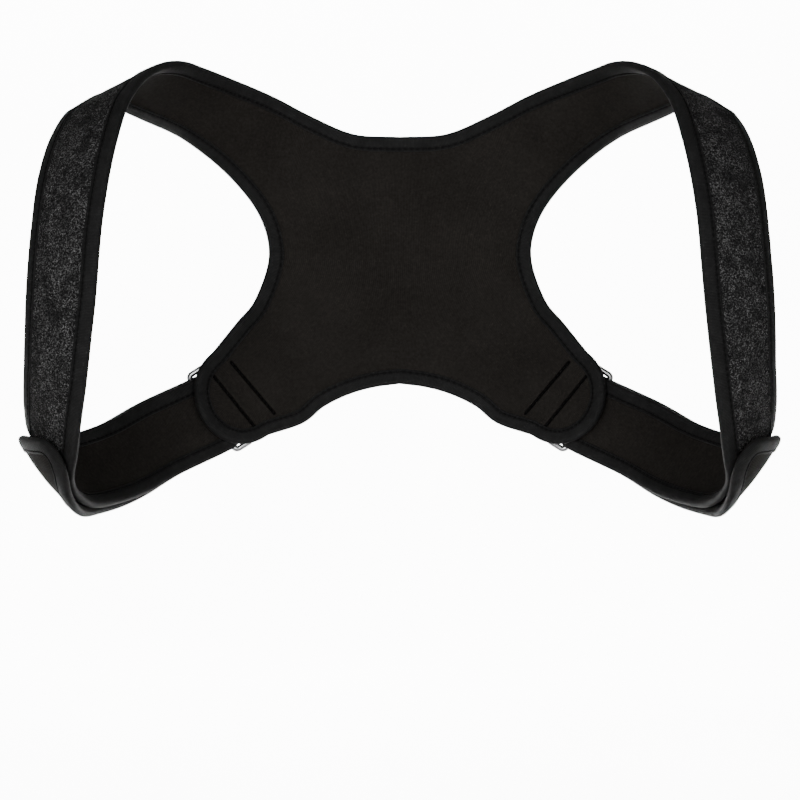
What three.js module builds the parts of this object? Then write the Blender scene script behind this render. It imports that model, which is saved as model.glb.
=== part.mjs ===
// Posture corrector: an X-shaped neoprene back panel whose upper wings go over the shoulders
// as long straps, under the arms, through a metal ring behind each lower wing and back to
// the front, where a hook patch holds the rounded strap end on the pile of the strap.
// Millimetres. X is the wearer's side to side, +Y the wearer's back, +Z up. The origin is the
// middle between the shoulders, at the height where the straps lie on them.
import * as THREE from 'three';

const { Vector3, Vector2 } = THREE;

// Reach of the brace round the wearer, which the tables below take shares of
const shoulderReach = 182; // middle plane to the middle of a strap on the chest
const backDepth = 108; // shoulder line back to the middle of the panel
const chestDepth = 64; // shoulder line forward to the middle of a strap on the chest
const underarmDrop = 210; // shoulder line down to the straps' turn under the arms

// Sheet, straps and edge tape
const sheetThickness = 3;
const strapWidth = 45;
const strapCrown = 4.6; // how far the middle of a strap stands proud of its edges
const tapeThickness = 0.8;
const tapeReach = 8; // how far the edge tape covers each face
const clearance = 0.3; // between pieces that are sewn or pressed together
const layerGap = 1; // between the tapes of two strap layers

// Rounded ends and the hook patch
const wingEndRadius = 28;
const wingFlare = 22; // length over which a wing widens inwards from its round end
const wingRootHem = 32.5; // from the wing's middle line to the hem, where it starts to widen
const wingRootArm = 36; // and to the arm edge
const wingBend = 150; // radius of the body under a wing
const tipLength = 34; // length of a strap's rounded tip
const tipRow = 6.2; // strap row that the tip lies over
const tipDrift = 5.5; // from the strap's middle inwards to the tip's end
const tipTaper = 0.3; // share of its width that the tip loses on the way, beside its rounding
const patchInset = 1; // between the hook patch and the edge tape beside it
const patchThickness = 2.2; // hooks sunk in the pile, half way between the layers
const patchLength = 50;
const patchMargin = 26; // from the strap's tip to the hook patch

// Metal ring and the webbing that holds it
const ringBar = 3.5;
const ringPlay = 1.6; // beside each edge of the strap
const ringPitch = 12; // between the middles of its two long bars
const ringCorner = 2.6; // radius of the bar's middle line at a corner
const ringLead = 14; // beyond the outer bar, to a point that the strap aims at
const ringTwist = -9; // degrees that the ring is turned on the wing, towards the strap
const ringOverhang = 7; // from the middle of the wing's round end out to the held bar
const loopWidth = 35;
const loopThickness = 1.3;
const loopLength = 24; // webbing sewn on the wing, from the held bar
const loopLanding = 7; // from the held bar to where the upper layer lies down

// Fineness of the meshes
const stepsPerRow = 3;
const panelCells = 4; // across the panel, between the edge tapes
const strapCells = 4; // across a strap, between the edge tapes
const foldSteps = 6;
const roundSteps = 8;
const barSides = 8;
const cornerSteps = 3;

const tapeOutside = clearance + tapeThickness; // the tape's outer face, from the sheet's face
const halfSheet = sheetThickness / 2;
const patchWidth = strapWidth - 2 * (tapeReach + patchInset);
const layerPitch = sheetThickness + 2 * tapeOutside + layerGap; // between two strap layers
const foldRadius = ringBar / 2 + clearance + tapeOutside + halfSheet; // the strap's, round a bar
const loopRadius = ringBar / 2 + clearance + loopThickness / 2; // the webbing's, round a bar

// Strap from the crest of the shoulder to the ring. x, y and z place its middle, in shares of
// shoulderReach, of backDepth behind the shoulder line or chestDepth before it, and of
// underarmDrop. yaw and drop turn its width, in degrees: yaw from sideways towards the back,
// drop below level at the arm's edge. crown is a share of strapCrown.
const strapRows = [
  { x: 0.841, y: 0.09, z: 0.007, yaw: 27, drop: 25, crown: 0 },
  { x: 0.915, y: -0.19, z: -0.07, yaw: 31, drop: 16, crown: 0.4 },
  { x: 0.957, y: -0.6, z: -0.205, yaw: 36, drop: 5, crown: 0.8 },
  { x: 0.982, y: -0.86, z: -0.38, yaw: 40, drop: 0, crown: 1 },
  { x: 0.994, y: -1, z: -0.588, yaw: 43, drop: 0, crown: 1 },
  { x: 1.007, y: -0.96, z: -0.762, yaw: 48, drop: 0, crown: 0.9 },
  { x: 1.026, y: -0.74, z: -0.9, yaw: 54, drop: -10, crown: 0.7 },
  { x: 1.044, y: -0.38, z: -0.988, yaw: 53, drop: -32, crown: 0.5 },
  { x: 1.008, y: 0.02, z: -1.032, yaw: 40, drop: -49, crown: 0.4 },
  { x: 0.938, y: 0.25, z: -1.023, yaw: 18, drop: -58, crown: 0.4 },
  { x: 0.854, y: 0.463, z: -0.997, yaw: 0, drop: -60, crown: 0.3 },
  { x: 0.755, y: 0.645, z: -0.949, yaw: -12, drop: -60, crown: 0.2 },
];

// Edges of one half of the panel, with the same shares. The neck edge and the hem start at
// the middle plane. The arm edge goes up from the wing, and its middle row is the waist.
const neckRows = [
  { x: 0, y: 0.963, z: -0.108 },
  { x: 0.15, y: 0.945, z: -0.1 },
  { x: 0.285, y: 0.875, z: -0.05 },
  { x: 0.41, y: 0.74, z: 0 },
  { x: 0.52, y: 0.55, z: 0.032 },
  { x: 0.61, y: 0.33, z: 0.052 },
  { x: 0.68, y: 0.14, z: 0.062 },
];
const armRows = [
  { x: 0.482, y: 0.885, z: -0.56 },
  { x: 0.421, y: 0.92, z: -0.435 },
  { x: 0.452, y: 0.9, z: -0.32 },
  { x: 0.55, y: 0.81, z: -0.21 },
  { x: 0.69, y: 0.62, z: -0.118 },
  { x: 0.83, y: 0.36, z: -0.075 },
];
const hemRows = [
  { x: 0, y: 0.98, z: -0.785 },
  { x: 0.085, y: 0.975, z: -0.795 },
  { x: 0.167, y: 0.965, z: -0.82 },
  { x: 0.25, y: 0.955, z: -0.855 },
];
const panelMiddle = { x: 0, y: 1, z: -0.455 };
const wingMiddle = { x: 0.507, y: 0.83, z: -0.834 };
const wingTurn = { yaw: -22, drop: -55 }; // how the wing's width is turned, as a strap's
const wingFacing = { yaw: 64, drop: 0 }; // which way the wing's outside faces

function place({ x, y, z }) {
  return new Vector3(x * shoulderReach, y * (y > 0 ? backDepth : chestDepth), z * underarmDrop);
}

function direction({ yaw, drop }) {
  const turn = THREE.MathUtils.degToRad(yaw);
  const fall = THREE.MathUtils.degToRad(drop);
  return new Vector3(Math.cos(fall) * Math.cos(turn), Math.cos(fall) * Math.sin(turn), -Math.sin(fall));
}

// Smooth curve through equally long lists of numbers, read at a row number that need not be
// whole
function smoothTable(rows) {
  const size = rows[0].length;
  const positions = rows.map((row, index) => index);
  const curve = new THREE.CubicInterpolant(positions, rows.flat(), size, new Float64Array(size));
  return (row) => Array.from(curve.evaluate(row));
}

function smoothEdge(points) {
  const curve = smoothTable(points.map((point) => point.toArray()));
  return (row) => new Vector3(...curve(row));
}

function evenly(from, to, steps) {
  return Array.from({ length: steps + 1 }, (unused, index) => from + (to - from) * index / steps);
}

function evenRows(from, to) {
  return evenly(from, to, Math.round(Math.abs(to - from) * stepsPerRow));
}

// Rows of a mesh that lie between two row numbers, in step with every other mesh's
function meshRows(from, to) {
  return evenRows(Math.ceil(from * stepsPerRow) / stepsPerRow, Math.floor(to * stepsPerRow) / stepsPerRow);
}

// Name of a point's place, the same for points that meet
function placeKey(point) {
  return point.toArray().map((value) => Math.round(value * 1000)).join();
}

// Closed body from corners and triangles of corner numbers. Corners that meet become one, and
// triangles that this closes up are left out.
function body(corners, triangles) {
  const firsts = new Map();
  const merged = corners.map((corner, index) => {
    const key = placeKey(corner);
    if (!firsts.has(key)) firsts.set(key, index);
    return firsts.get(key);
  });
  const faces = triangles.map((face) => face.map((corner) => merged[corner]))
    .filter((face) => new Set(face).size === 3);
  const geometry = new THREE.BufferGeometry();
  const numbers = corners.flatMap((corner) => corner.toArray());
  geometry.setAttribute('position', new THREE.Float32BufferAttribute(numbers, 3));
  geometry.setIndex(faces.flat());
  geometry.computeVertexNormals();
  return geometry;
}

// Flexible sheet held as its middle surface, made of triangles with shared corners
class Sheet {
  constructor() {
    this.points = [];
    this.numbers = new Map();
    this.faces = [];
  }

  number(point) {
    const key = placeKey(point);
    if (!this.numbers.has(key)) {
      this.numbers.set(key, this.points.length);
      this.points.push(point.clone());
    }
    return this.numbers.get(key);
  }

  triangle(a, b, c) {
    const face = [a, b, c].map((point) => this.number(point));
    if (new Set(face).size === 3) this.faces.push(face);
  }

  // Adds a grid given as lines of points. The way along the lines and the way across them
  // turn the outside of the sheet towards the viewer when they run like x and minus y.
  grid(lines) {
    for (let i = 0; i < lines.length - 1; i += 1) {
      for (let j = 0; j < lines[i].length - 1; j += 1) {
        this.triangle(lines[i][j], lines[i + 1][j + 1], lines[i][j + 1]);
        this.triangle(lines[i][j], lines[i + 1][j], lines[i + 1][j + 1]);
      }
    }
    this.findNormals();
  }

  findNormals() {
    this.normals = this.points.map(() => new Vector3());
    for (const [a, b, c] of this.faces) {
      const edge = this.points[b].clone().sub(this.points[a]);
      const normal = edge.cross(this.points[c].clone().sub(this.points[a]));
      for (const corner of [a, b, c]) this.normals[corner].add(normal);
    }
    for (const normal of this.normals) normal.normalize();
  }

  // Turns the sheet at points of its end, so that it meets another sheet squarely
  turn(points, normal) {
    for (const point of points) this.normals[this.number(point)].copy(normal);
  }

  // Point of the sheet moved off it by a height
  raised(point, height) {
    return point.clone().addScaledVector(this.normals[this.number(point)], height);
  }

  // Closed body of the given thickness about the middle surface
  solid(thickness) {
    const count = this.points.length;
    const corners = [thickness / 2, -thickness / 2].flatMap((height) => (
      this.points.map((point) => this.raised(point, height))
    ));
    const triangles = [];
    const open = new Map();
    for (const [a, b, c] of this.faces) {
      triangles.push([a, b, c], [a + count, c + count, b + count]);
      for (const [from, to] of [[a, b], [b, c], [c, a]]) {
        if (!open.delete(`${to},${from}`)) open.set(`${from},${to}`, [from, to]);
      }
    }
    for (const [from, to] of open.values()) {
      triangles.push([from, from + count, to], [to, from + count, to + count]);
    }
    return body(corners, triangles);
  }
}

// Closed body through equal outlines, each a list of points that runs round the same way. The
// ends are capped with the triangles of the flat outline, or joined when the body is a ring.
// crossed lists the sides whose four-sided faces are split from their second corner.
function loft(outlines, flatOutline, { isRing = false, crossed = [] } = {}) {
  const sides = flatOutline.length;
  const rows = outlines.length;
  const triangles = [];
  for (let i = 0; i < (isRing ? rows : rows - 1); i += 1) {
    const next = (i + 1) % rows;
    for (let j = 0; j < sides; j += 1) {
      const a = i * sides + j;
      const b = i * sides + (j + 1) % sides;
      const c = next * sides + (j + 1) % sides;
      const d = next * sides + j;
      if (crossed.includes(j)) triangles.push([b, c, d], [b, d, a]);
      else triangles.push([a, b, c], [a, c, d]);
    }
  }
  if (!isRing) {
    const last = (rows - 1) * sides;
    for (const [a, b, c] of THREE.ShapeUtils.triangulateShape(flatOutline, [])) {
      triangles.push([c, b, a], [a + last, b + last, c + last]);
    }
  }
  return body(outlines.flat(), triangles);
}

// Tape folded round an edge of a sheet: its section is a U that covers both faces. border is a
// list of pairs of the sheet's own points, one on the edge and one under the tape's own edge,
// with the sheet on the left of the way along it. The tape's faces are split as the sheet's.
function edgeTape(sheet, border) {
  const inner = halfSheet + clearance;
  const outer = halfSheet + tapeOutside;
  const section = [
    [1, -outer], [1, -inner], [0, -inner], [0, inner], [1, inner], [1, outer], [0, outer], [0, -outer],
  ];
  const beyond = [0, 0, clearance, clearance, 0, 0, tapeOutside, tapeOutside];
  const flat = section.map(([isInside, height], index) => (
    new Vector2(isInside * tapeReach - beyond[index], height)
  ));
  const edges = border.map(([edge]) => edge);
  const outlines = border.map(([edge, inside], index) => {
    const before = edges.slice(0, index).findLast((other) => other.distanceTo(edge) > 0.01);
    const after = edges.slice(index).find((other) => other.distanceTo(edge) > 0.01);
    const out = before && after
      ? after.clone().sub(before).cross(sheet.raised(edge, 1).sub(edge))
      : edge.clone().sub(inside);
    out.normalize();
    return section.map(([isInside, height], index) => (
      sheet.raised(isInside ? inside : edge, height).addScaledVector(out, beyond[index])
    ));
  });
  return loft(outlines, flat, { crossed: [1, 5] });
}

// Positions across a width of which the edge tapes cover both ends, measured from its middle
function columns(width, cells) {
  const half = width / 2;
  return [-half, ...evenly(tapeReach - half, half - tapeReach, cells), half];
}

// Line of points across a strap, a wing or webbing, at positions measured from its middle
function acrossLine(section, positions) {
  const half = Math.max(...positions);
  return positions.map((position) => section.middle.clone()
    .addScaledVector(section.across, position)
    .addScaledVector(section.normal, (section.crown ?? 0) * (1 - (position / half) ** 2)));
}

// Rays of a rounded end, from its middle out to its edge, in the order of a grid that goes on
// from whole lines. at gives the point of the sheet at a distance beyond them and across.
function roundEnd(length, halfWidth, cells, at) {
  return evenly(Math.PI / 2, -Math.PI / 2, roundSteps).map((angle) => {
    const beyond = length * Math.cos(angle);
    const across = halfWidth * Math.sin(angle);
    const radius = Math.hypot(beyond, across);
    const shares = [...evenly(0, 1 - tapeReach / radius, cells / 2), 1];
    return shares.map((share) => at(share * beyond, share * across));
  });
}

// Section of a wing at a distance outwards from the middle of its round end. The wing is bent
// round the body on the way.
const wingCentre = place(wingMiddle);
const wingAcross = direction(wingTurn);
const wingNormal = direction(wingFacing).projectOnPlane(wingAcross).normalize();
const wingAxis = wingNormal.clone().cross(wingAcross).normalize();

function wingSection(distance) {
  const angle = distance / wingBend;
  const normal = wingNormal.clone().multiplyScalar(Math.cos(angle))
    .addScaledVector(wingAxis, Math.sin(angle));
  const axis = wingAxis.clone().multiplyScalar(Math.cos(angle))
    .addScaledVector(wingNormal, -Math.sin(angle));
  const middle = wingCentre.clone().addScaledVector(wingNormal, -wingBend)
    .addScaledVector(normal, wingBend);
  return { middle, across: wingAcross, normal, axis };
}

// Point off the outside of the wing, at distances along and across the ring's own way
function loopPoint(along, across, height) {
  const twist = THREE.MathUtils.degToRad(ringTwist);
  const section = wingSection(along * Math.cos(twist) + across * Math.sin(twist));
  return section.middle.addScaledVector(section.normal, height)
    .addScaledVector(section.across, across * Math.cos(twist) - along * Math.sin(twist));
}

// The ring lies on the outside of the wing. Its held bar is in the webbing loop, and the strap
// goes round its outer bar, which stands off by the strap's layer under it.
const heldMiddle = loopPoint(ringOverhang, 0, 0);
const heldNormal = loopPoint(ringOverhang, 0, 1).sub(heldMiddle);
const heldAcross = loopPoint(ringOverhang, 1, 0).sub(heldMiddle).projectOnPlane(heldNormal).normalize();
const heldAxis = heldNormal.clone().cross(heldAcross).normalize();
const heldHeight = halfSheet + clearance + loopThickness / 2 + loopRadius;
const outerHeight = 2 * halfSheet + tapeOutside + clearance + foldRadius + tapeOutside;
const ringTilt = Math.asin((outerHeight - heldHeight) / ringPitch);
const ringDirection = heldAxis.clone().multiplyScalar(Math.cos(ringTilt))
  .addScaledVector(heldNormal, Math.sin(ringTilt));
const heldBar = loopPoint(ringOverhang, 0, heldHeight);
const outerBar = heldBar.clone().addScaledVector(ringDirection, ringPitch);

// Sections of the strap by row number, up to the one that passes under the ring's outer bar
const lastRow = strapRows.length;
const strapEnd = outerBar.clone().addScaledVector(heldNormal, -foldRadius);
const strapBeyond = strapEnd.clone().addScaledVector(heldAxis, -ringLead);
const strapCurve = smoothTable([
  ...strapRows.map((row) => [...place(row), ...direction(row), row.crown]),
  [...strapEnd, ...heldAcross, 0],
  [...strapBeyond, ...heldAcross, 0],
]);

function strapMiddle(row) {
  return new Vector3(...strapCurve(row).slice(0, 3));
}

function strapSection(row) {
  const [, , , x, y, z, crown] = strapCurve(row);
  const step = 0.02;
  const forward = strapMiddle(Math.min(row + step, lastRow))
    .sub(strapMiddle(Math.max(row - step, 0))).normalize();
  const across = new Vector3(x, y, z).projectOnPlane(forward).normalize();
  const normal = forward.clone().cross(across);
  return { middle: strapMiddle(row), across, normal, forward, crown: crown * strapCrown };
}

// Point of the strap's sheet at a row and a position across, moved off it by a height
function strapPoint(row, position, height = 0) {
  const at = (someRow, somePosition) => {
    const section = strapSection(someRow);
    const rise = section.crown * (1 - (2 * somePosition / strapWidth) ** 2);
    return section.middle.addScaledVector(section.across, somePosition)
      .addScaledVector(section.normal, rise);
  };
  const step = 0.02;
  const along = at(Math.min(row + step, lastRow), position).sub(at(Math.max(row - step, 0), position));
  const over = at(row, position + step).sub(at(row, position - step));
  return at(row, position).addScaledVector(along.cross(over).normalize(), height);
}

function returnHeight(row) {
  const nearRing = THREE.MathUtils.smoothstep(row, lastRow - 2, lastRow);
  return THREE.MathUtils.lerp(layerPitch, 2 * foldRadius, nearRing);
}

// Row number at a distance along the strap's middle, on from another row
function rowBeyond(row, distance) {
  const step = 0.01;
  let left = distance;
  let at = row;
  while (left > 0) {
    left -= strapMiddle(at + step).distanceTo(strapMiddle(at));
    at += step;
  }
  return at;
}

// The whole strap as lines across it: over the shoulder to the ring, round the ring's outer
// bar, and back on its own outside to where the rounded tip starts
const tipStart = rowBeyond(tipRow, tipLength);

function strapLines() {
  const positions = columns(strapWidth, strapCells);
  const lines = evenRows(0, lastRow).map((row) => acrossLine(strapSection(row), positions));
  const end = strapSection(lastRow);
  for (const angle of evenly(0, Math.PI, foldSteps).slice(1, -1)) {
    const middle = outerBar.clone().addScaledVector(end.forward, foldRadius * Math.sin(angle))
      .addScaledVector(end.normal, -foldRadius * Math.cos(angle));
    lines.push(acrossLine({ ...end, middle }, positions));
  }
  for (const row of [...meshRows(tipStart, lastRow).reverse(), tipStart]) {
    lines.push(positions.map((position) => strapPoint(row, position, returnHeight(row))));
  }
  return lines;
}

function tipRays() {
  return roundEnd(tipLength, strapWidth / 2, strapCells, (beyond, across) => {
    const share = (beyond / tipLength) ** 2;
    const position = across * (1 - tipTaper * share) - tipDrift * share;
    return strapPoint(rowBeyond(tipRow, tipLength - beyond), position, layerPitch);
  });
}

// Straight line across the panel between two edge points
function panelLine(from, to) {
  const width = from.distanceTo(to);
  return columns(width, panelCells).map((position) => (
    from.clone().lerp(to, 0.5 + position / width)
  ));
}

// Edges of the right half of the panel as functions of the row number. The arm edge has two,
// counted from the middle plane upwards and downwards, and both start with the seam line.
function panelEdges() {
  const crest = strapSection(0);
  const joint = crest.middle.clone().addScaledVector(crest.forward, -clearance);
  const [neckEnd, armEnd] = acrossLine({ ...crest, middle: joint }, [-strapWidth / 2, strapWidth / 2]);
  const wingEdges = [
    acrossLine(wingSection(-wingFlare), [-wingRootHem, wingRootArm]),
    acrossLine(wingSection(0), [-wingEndRadius, wingEndRadius]),
  ];
  const neck = smoothEdge([...neckRows.map(place), neckEnd]);
  const hem = smoothEdge([...hemRows.map(place), ...wingEdges.map((line) => line[0])]);
  const arm = smoothEdge([wingEdges[1][1], wingEdges[0][1], ...armRows.map(place), armEnd]);
  const waistRow = 3;
  const seamEnd = 2;
  const middle = place(panelMiddle);
  const waist = arm(waistRow);
  const seamInset = seamEnd * tapeReach / middle.distanceTo(waist);
  const seam = (share) => {
    const point = middle.clone().lerp(waist, share);
    point.y = THREE.MathUtils.lerp(middle.y, waist.y, share * share);
    return point;
  };
  const armUp = (row) => (row < seamEnd ? seam(row / seamEnd) : arm(waistRow + row - seamEnd));
  const armDown = (row) => (row < seamEnd ? seam(row / seamEnd) : arm(waistRow - row + seamEnd));
  return { neck, hem, armUp, armDown, seamEnd, seamInset };
}

function wingRays() {
  return roundEnd(wingEndRadius, wingEndRadius, panelCells, (beyond, across) => {
    const section = wingSection(beyond);
    return section.middle.addScaledVector(section.across, -across);
  });
}

// Webbing round the ring's held bar, with both of its ends sewn on the outside of the wing
function loopLines() {
  const lower = halfSheet + clearance + loopThickness / 2;
  const upper = lower + loopThickness + clearance;
  const inner = ringOverhang - loopLength;
  const landing = ringOverhang - loopLanding;
  const stops = evenly(inner, landing, 2);
  const leave = Math.PI * 1.2;
  const positions = [-loopWidth / 2, 0, loopWidth / 2];
  const onWing = (height) => (stop) => positions.map((position) => loopPoint(stop, position, height));
  const round = evenly(0, leave, 2 * foldSteps).map((angle) => {
    const middle = heldBar.clone().addScaledVector(heldAxis, loopRadius * Math.sin(angle))
      .addScaledVector(heldNormal, -loopRadius * Math.cos(angle));
    return positions.map((position) => middle.clone().addScaledVector(heldAcross, position));
  });
  return [...stops.map(onWing(lower)), ...round, ...stops.reverse().map(onWing(upper))];
}

function ringBody() {
  const across = heldAcross;
  const upright = ringDirection.clone().cross(across);
  const halfLength = strapWidth / 2 + tapeOutside + ringPlay + ringBar / 2;
  const centre = heldBar.clone().addScaledVector(ringDirection, ringPitch / 2);
  const circle = evenly(0, 2 * Math.PI, barSides).slice(1).map((angle) => (
    new Vector2(Math.cos(angle), Math.sin(angle)).multiplyScalar(ringBar / 2)
  ));
  const corners = [[1, 1], [-1, 1], [-1, -1], [1, -1]];
  const outlines = corners.flatMap(([sideU, sideV], corner) => (
    evenly(corner, corner + 1, cornerSteps).map((quarter) => {
      const angle = quarter * Math.PI / 2;
      const outward = ringDirection.clone().multiplyScalar(Math.cos(angle))
        .addScaledVector(across, Math.sin(angle));
      const middle = centre.clone()
        .addScaledVector(ringDirection, sideU * (ringPitch / 2 - ringCorner))
        .addScaledVector(across, sideV * (halfLength - ringCorner))
        .addScaledVector(outward, ringCorner);
      return circle.map((point) => (
        middle.clone().addScaledVector(outward, point.x).addScaledVector(upright, -point.y)
      ));
    })
  ));
  return loft(outlines, circle, { isRing: true });
}

// Lines of the left half in reverse, then those of the right half, from side to side
function wholeWidth(lines) {
  const left = lines.slice(1).reverse().map((line) => line.map(mirroredPoint));
  return [...left, ...lines];
}

function mirroredPoint(point) {
  return new Vector3(-point.x, point.y, point.z);
}

const startPairs = (lines) => lines.map((line) => [line[0], line[1]]);
const endPairs = (lines) => lines.map((line) => [line.at(-1), line.at(-2)]);

const materials = {
  neoprene: new THREE.MeshStandardMaterial({ color: '#211f1d', roughness: 0.9 }),
  pile: new THREE.MeshStandardMaterial({ color: '#2b2b2a', roughness: 1 }),
  tape: new THREE.MeshStandardMaterial({ color: '#262626', roughness: 0.75 }),
  webbing: new THREE.MeshStandardMaterial({ color: '#1c1c1c', roughness: 0.8 }),
  hook: new THREE.MeshStandardMaterial({ color: '#151515', roughness: 0.85 }),
  metal: new THREE.MeshStandardMaterial({ color: '#b9babc', roughness: 0.25, metalness: 1 }),
};

const brace = new THREE.Group();

function add(name, geometry, material) {
  const mesh = new THREE.Mesh(geometry, material);
  mesh.name = name;
  brace.add(mesh);
  return mesh;
}

// The same body on the right and, mirrored, on the left
function addPair(name, geometry, material) {
  add(`${name}_right`, geometry, material);
  add(`${name}_left`, geometry, material).scale.x = -1;
}

function addPanel() {
  const { neck, hem, armUp, armDown, seamEnd, seamInset } = panelEdges();
  const rows = (last) => [
    ...evenly(0, seamEnd - seamInset, seamEnd * stepsPerRow - 1), ...evenRows(seamEnd, last),
  ];
  const upper = rows(neckRows.length).map((row) => panelLine(neck(row), armUp(row)));
  const lower = rows(hemRows.length + 1).map((row) => panelLine(armDown(row), hem(row)));
  const seam = seamEnd * stepsPerRow;
  lower.forEach((line, index) => {
    if (index <= seam) line[0] = upper[index].at(-1);
  });
  const rays = wingRays();
  const leftRays = rays.map((ray) => ray.map(mirroredPoint)).reverse();

  const sheet = new Sheet();
  sheet.grid(wholeWidth(upper));
  sheet.grid(wholeWidth(lower));
  sheet.grid(rays);
  sheet.grid(leftRays);
  const { normal } = strapSection(0);
  sheet.turn(upper.at(-1), normal);
  sheet.turn(upper.at(-1).map(mirroredPoint), mirroredPoint(normal));
  add('back_panel', sheet.solid(sheetThickness), materials.neoprene);
  add('neck_binding', edgeTape(sheet, startPairs(wholeWidth(upper))), materials.tape);

  const rightBorder = [
    ...endPairs(upper).slice(seam).reverse(),
    [upper[seam].at(-1), upper[seam - 1].at(-1)],
    ...startPairs(lower).slice(seam, -1),
    ...endPairs(rays).reverse(),
    ...endPairs(lower).slice(0, -1).reverse(),
  ];
  const leftBorder = rightBorder.slice(0, -1).reverse().map((pair) => pair.map(mirroredPoint));
  add('lower_binding', edgeTape(sheet, [...rightBorder, ...leftBorder]), materials.tape);
}

function addStraps() {
  const lines = strapLines();
  const rays = tipRays();
  const sheet = new Sheet();
  sheet.grid(lines);
  sheet.grid(rays);
  sheet.turn(lines[0], strapSection(0).normal);
  addPair('shoulder_strap', sheet.solid(sheetThickness), materials.pile);
  addPair('strap_binding', edgeTape(sheet, [
    ...startPairs(lines).slice(0, -1),
    ...endPairs(rays).reverse(),
    ...endPairs(lines).slice(0, -1).reverse(),
  ]), materials.tape);
}

function addHookPatches() {
  const start = rowBeyond(tipRow, patchMargin);
  const positions = evenly(-patchWidth / 2, patchWidth / 2, strapCells);
  const sheet = new Sheet();
  sheet.grid(meshRows(start, rowBeyond(start, patchLength)).map((row) => (
    positions.map((position) => strapPoint(row, position, layerPitch / 2))
  )));
  addPair('hook_patch', sheet.solid(patchThickness), materials.hook);
}

function addRingLoops() {
  const sheet = new Sheet();
  sheet.grid(loopLines());
  addPair('ring_loop', sheet.solid(loopThickness), materials.webbing);
}

addPanel();
addStraps();
addHookPatches();
addRingLoops();
addPair('ring', ringBody(), materials.metal);

export default brace;
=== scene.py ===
# Posture corrector: foam laminate with knit inside and pile outside, folded edge tape with
# its stitching, webbing loops, rings and hook patches. Tables and sizes are in millimetres,
# as in the CAD model; the scene and the materials are in metres.
import itertools
import math

import bmesh
import bpy
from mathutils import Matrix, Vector, noise
from mathutils.bvhtree import BVHTree
from mathutils.interpolate import poly_3d_calc


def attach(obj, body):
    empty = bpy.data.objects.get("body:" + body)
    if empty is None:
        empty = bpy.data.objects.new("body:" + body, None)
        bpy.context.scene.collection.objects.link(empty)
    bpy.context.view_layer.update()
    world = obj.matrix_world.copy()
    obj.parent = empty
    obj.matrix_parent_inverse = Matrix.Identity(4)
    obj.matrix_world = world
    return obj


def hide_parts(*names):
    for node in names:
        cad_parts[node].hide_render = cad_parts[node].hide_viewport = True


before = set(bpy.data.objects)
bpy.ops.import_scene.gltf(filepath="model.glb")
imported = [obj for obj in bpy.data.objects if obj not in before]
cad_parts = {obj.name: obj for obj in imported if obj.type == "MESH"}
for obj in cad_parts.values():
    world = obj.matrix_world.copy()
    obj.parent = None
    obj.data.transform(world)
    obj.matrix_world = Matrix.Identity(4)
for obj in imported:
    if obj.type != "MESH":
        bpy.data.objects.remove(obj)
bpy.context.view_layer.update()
scene = bpy.context.scene

MM = 0.001

# Reach of the brace round the wearer, which the tables below take shares of
SHOULDER_REACH = 182  # middle plane to the middle of a strap on the chest
BACK_DEPTH = 108  # shoulder line back to the middle of the panel
CHEST_DEPTH = 64  # shoulder line forward to the middle of a strap on the chest
UNDERARM_DROP = 210  # shoulder line down to the straps' turn under the arms

# Laminate, straps and edge tape
SHEET_THICKNESS = 3
STRAP_WIDTH = 45
STRAP_CROWN = 4.6  # how far the middle of a strap stands proud of its edges
TAPE_REACH = 8  # how far the edge tape covers each face
TAPE_THICKNESS = 0.8
CLEARANCE = 0.3  # between pieces that are sewn or pressed together
LAYER_GAP = 1  # between the tapes of two strap layers
HALF_SHEET = SHEET_THICKNESS / 2
TAPE_OUTSIDE = CLEARANCE + TAPE_THICKNESS
LAYER_PITCH = SHEET_THICKNESS + 2 * TAPE_OUTSIDE + LAYER_GAP

# A wing's round end, and how the wing widens from there to the panel
WING_END_RADIUS = 28.7
WING_END_RISE = 1.3  # from the wing's middle line to the round end's, towards the arm edge
WING_FLARE = 22  # length over which a wing widens inwards from its round end
WING_ROOT_HEM = 34.3  # from the wing's middle line to the hem, where it starts to widen
WING_ROOT_ARM = 36  # and to the arm edge
WING_BEND = 150  # radius of the body under a wing

# A strap's rounded tip, and the hook patch on it
TIP_LENGTH = 34
TIP_ROW = 6.1  # strap row that the tip lies over
TIP_DRIFT = 6  # from the strap's middle inwards to the tip's end
TIP_TAPER = 0.58  # share of its width that the tip loses on the arm's side, beside its rounding
TAB_EXTRA = 4.5  # how much further in the returned end reaches than the strap under it
TAB_ROWS = (7.2, 8.6)  # strap rows between which the returned layer widens
PATCH_INSET = 1  # between the hook patch and the edge tape beside it
PATCH_WIDTH = STRAP_WIDTH - 2 * (TAPE_REACH + PATCH_INSET)
PATCH_THICKNESS = 2.2
PATCH_LENGTH = 50
PATCH_MARGIN = 26  # from the strap's tip to the hook patch

# Metal ring and the webbing that holds it
RING_BAR = 3.5
RING_PLAY = 0.9  # beside each edge of the strap
RING_PITCH = 12  # between the middles of its two long bars
RING_CORNER = 2.6  # radius of the bar's middle line at a corner
RING_LEAD = 14  # beyond the outer bar, to a point that the strap aims at
RING_TWIST = -1  # degrees that the ring is turned on the wing, towards the strap
RING_OVERHANG = 7  # from the middle of the wing's round end out to the held bar
LOOP_WIDTH = 35
LOOP_THICKNESS = 1.3
LOOP_LENGTH = 24  # webbing sewn on the wing, from the held bar
LOOP_LANDING = 7  # from the held bar to where the upper layer lies down
FOLD_RADIUS = RING_BAR / 2 + CLEARANCE + TAPE_OUTSIDE + HALF_SHEET  # the strap's, round a bar
LOOP_RADIUS = RING_BAR / 2 + CLEARANCE + LOOP_THICKNESS / 2  # the webbing's, round a bar

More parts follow.
